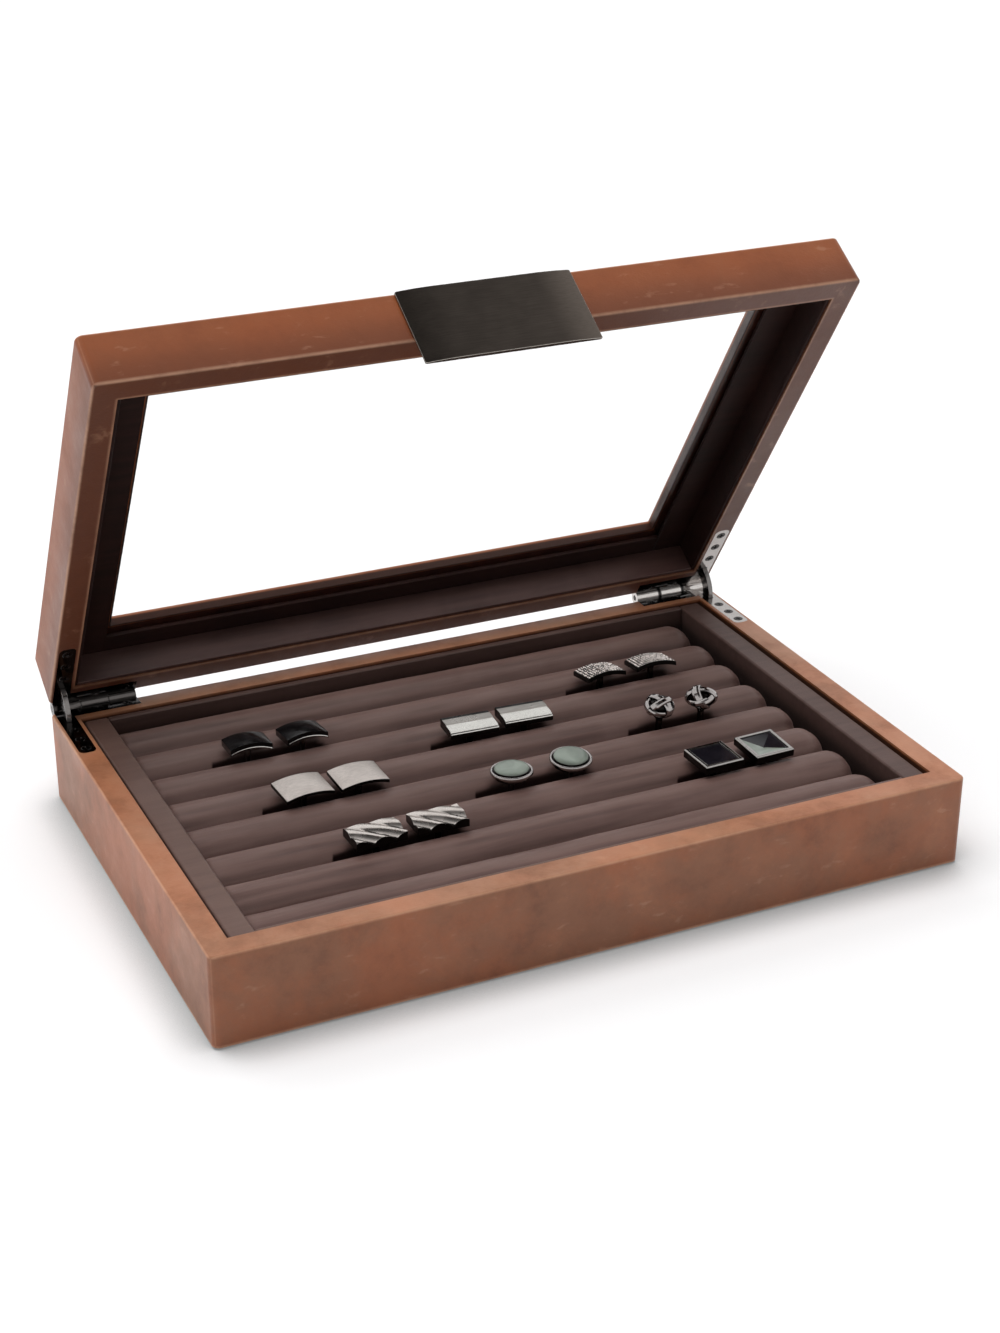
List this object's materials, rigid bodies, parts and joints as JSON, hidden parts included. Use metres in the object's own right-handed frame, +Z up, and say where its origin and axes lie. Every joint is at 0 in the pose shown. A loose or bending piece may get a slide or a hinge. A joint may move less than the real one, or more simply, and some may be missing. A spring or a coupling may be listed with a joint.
{
  "type": "cufflink display box",
  "caption": "Leather wrapped tray box with padded rolls holding cufflinks, under a hinged lid with a glass window and a metal front plate.",
  "frame": {"origin": "on the table under the middle of the base", "axes": "+X to the right along the hinge line, +Y towards the hinges, +Z up; the lid stands open 57.5 degrees at rest"},
  "size_m": [0.28, 0.2025, 0.2048],
  "materials": {
    "cognac_leather": "mottled, satin",
    "core_board": "raw board",
    "lining": "matt fine grain",
    "roll_cover": "soft satin",
    "felt": "matt",
    "glass": "clear",
    "gunmetal": "brushed, dark plated",
    "hinge_metal": "black nickel, polished",
    "black_enamel": "gloss",
    "textured_silver": "fine mesh texture",
    "polished_silver": "polished",
    "brushed_silver": "satin brushed",
    "dark_chrome": "polished"
  },
  "bodies": {
    "base": {"base_back_wall": "core_board", "base_bottom_panel": "core_board", "base_front_wall": "core_board", "base_hinge_screws": "hinge_metal", "base_leather_wrap": "cognac_leather", "base_left_wall": "core_board", "base_right_wall": "core_board", "base_underside_pad": "felt", "left_hinge_base_leaf": "hinge_metal", "left_hinge_pin": "hinge_metal", "right_hinge_base_leaf": "hinge_metal", "right_hinge_pin": "hinge_metal", "roll_1": "roll_cover", "roll_2": "roll_cover", "roll_3": "roll_cover", "roll_4": "roll_cover", "roll_5": "roll_cover", "roll_6": "roll_cover", "roll_7": "roll_cover", "roll_8": "roll_cover", "tray_back_bar": "lining", "tray_floor": "lining", "tray_front_bar": "lining", "tray_left_bar": "lining", "tray_right_bar": "lining"},
    "lid": {"glass_retainer": "lining", "left_hinge_lid_leaf": "hinge_metal", "lid_back_lining": "lining", "lid_back_wall": "core_board", "lid_front_lining": "lining", "lid_front_plate": "gunmetal", "lid_front_wall": "core_board", "lid_glass": "glass", "lid_hinge_screws": "hinge_metal", "lid_leather_wrap": "cognac_leather", "lid_left_lining": "lining", "lid_left_wall": "core_board", "lid_right_lining": "lining", "lid_right_wall": "core_board", "lid_top_frame": "core_board", "right_hinge_lid_leaf": "hinge_metal"},
    "left_stay": {"left_hinge_stay": "hinge_metal"},
    "right_stay": {"right_hinge_stay": "hinge_metal"},
    "bar_cufflink_left": {"bar_cufflink_left": "polished_silver"},
    "bar_cufflink_right": {"bar_cufflink_right": "polished_silver"},
    "black_cufflink_left": {"black_cufflink_left": "black_enamel"},
    "black_cufflink_right": {"black_cufflink_right": "black_enamel"},
    "disc_cufflink_left": {"disc_cufflink_left": "polished_silver"},
    "disc_cufflink_right": {"disc_cufflink_right": "polished_silver"},
    "knot_cufflink_left": {"knot_cufflink_left": "dark_chrome"},
    "knot_cufflink_right": {"knot_cufflink_right": "dark_chrome"},
    "mesh_cufflink_left": {"mesh_cufflink_left": "textured_silver"},
    "mesh_cufflink_right": {"mesh_cufflink_right": "textured_silver"},
    "plain_cufflink_left": {"plain_cufflink_left": "brushed_silver"},
    "plain_cufflink_right": {"plain_cufflink_right": "brushed_silver"},
    "square_cufflink_left": {"square_cufflink_left": "dark_chrome"},
    "square_cufflink_right": {"square_cufflink_right": "dark_chrome"},
    "twist_cufflink_left": {"twist_cufflink_left": "polished_silver"},
    "twist_cufflink_right": {"twist_cufflink_right": "polished_silver"}
  },
  "joints": [
    {"name": "lid_hinge", "type": "hinge", "parent": "base", "child": "lid", "pos_m": [0, 0.0949, 0.03465], "axis": [-1, 0, 0], "range_deg": [-57.5, 37.5]},
    {"name": "left_stay_swing", "type": "hinge", "parent": "base", "child": "left_stay", "pos_m": [0, 0.0949, 0.03465], "axis": [-1, 0, 0], "range_deg": [-28.8, 18.8]},
    {"name": "right_stay_swing", "type": "hinge", "parent": "base", "child": "right_stay", "pos_m": [0, 0.0949, 0.03465], "axis": [-1, 0, 0], "range_deg": [-28.8, 18.8]},
    {"name": "bar_cufflink_left_lift", "type": "slide", "parent": "base", "child": "bar_cufflink_left", "axis": [0, 0, 1], "range_m": [0, 0.025]},
    {"name": "bar_cufflink_right_lift", "type": "slide", "parent": "base", "child": "bar_cufflink_right", "axis": [0, 0, 1], "range_m": [0, 0.025]},
    {"name": "black_cufflink_left_lift", "type": "slide", "parent": "base", "child": "black_cufflink_left", "axis": [0, 0, 1], "range_m": [0, 0.025]},
    {"name": "black_cufflink_right_lift", "type": "slide", "parent": "base", "child": "black_cufflink_right", "axis": [0, 0, 1], "range_m": [0, 0.025]},
    {"name": "disc_cufflink_left_lift", "type": "slide", "parent": "base", "child": "disc_cufflink_left", "axis": [0, 0, 1], "range_m": [0, 0.025]},
    {"name": "disc_cufflink_right_lift", "type": "slide", "parent": "base", "child": "disc_cufflink_right", "axis": [0, 0, 1], "range_m": [0, 0.025]},
    {"name": "knot_cufflink_left_lift", "type": "slide", "parent": "base", "child": "knot_cufflink_left", "axis": [0, 0, 1], "range_m": [0, 0.025]},
    {"name": "knot_cufflink_right_lift", "type": "slide", "parent": "base", "child": "knot_cufflink_right", "axis": [0, 0, 1], "range_m": [0, 0.025]},
    {"name": "mesh_cufflink_left_lift", "type": "slide", "parent": "base", "child": "mesh_cufflink_left", "axis": [0, 0, 1], "range_m": [0, 0.025]},
    {"name": "mesh_cufflink_right_lift", "type": "slide", "parent": "base", "child": "mesh_cufflink_right", "axis": [0, 0, 1], "range_m": [0, 0.025]},
    {"name": "plain_cufflink_left_lift", "type": "slide", "parent": "base", "child": "plain_cufflink_left", "axis": [0, 0, 1], "range_m": [0, 0.025]},
    {"name": "plain_cufflink_right_lift", "type": "slide", "parent": "base", "child": "plain_cufflink_right", "axis": [0, 0, 1], "range_m": [0, 0.025]},
    {"name": "square_cufflink_left_lift", "type": "slide", "parent": "base", "child": "square_cufflink_left", "axis": [0, 0, 1], "range_m": [0, 0.025]},
    {"name": "square_cufflink_right_lift", "type": "slide", "parent": "base", "child": "square_cufflink_right", "axis": [0, 0, 1], "range_m": [0, 0.025]},
    {"name": "twist_cufflink_left_lift", "type": "slide", "parent": "base", "child": "twist_cufflink_left", "axis": [0, 0, 1], "range_m": [0, 0.025]},
    {"name": "twist_cufflink_right_lift", "type": "slide", "parent": "base", "child": "twist_cufflink_right", "axis": [0, 0, 1], "range_m": [0, 0.025]}
  ],
  "couplings": [
    {"joint": "left_stay_swing", "follows": "lid_hinge", "ratio": 0.5},
    {"joint": "right_stay_swing", "follows": "lid_hinge", "ratio": 0.5}
  ]
}
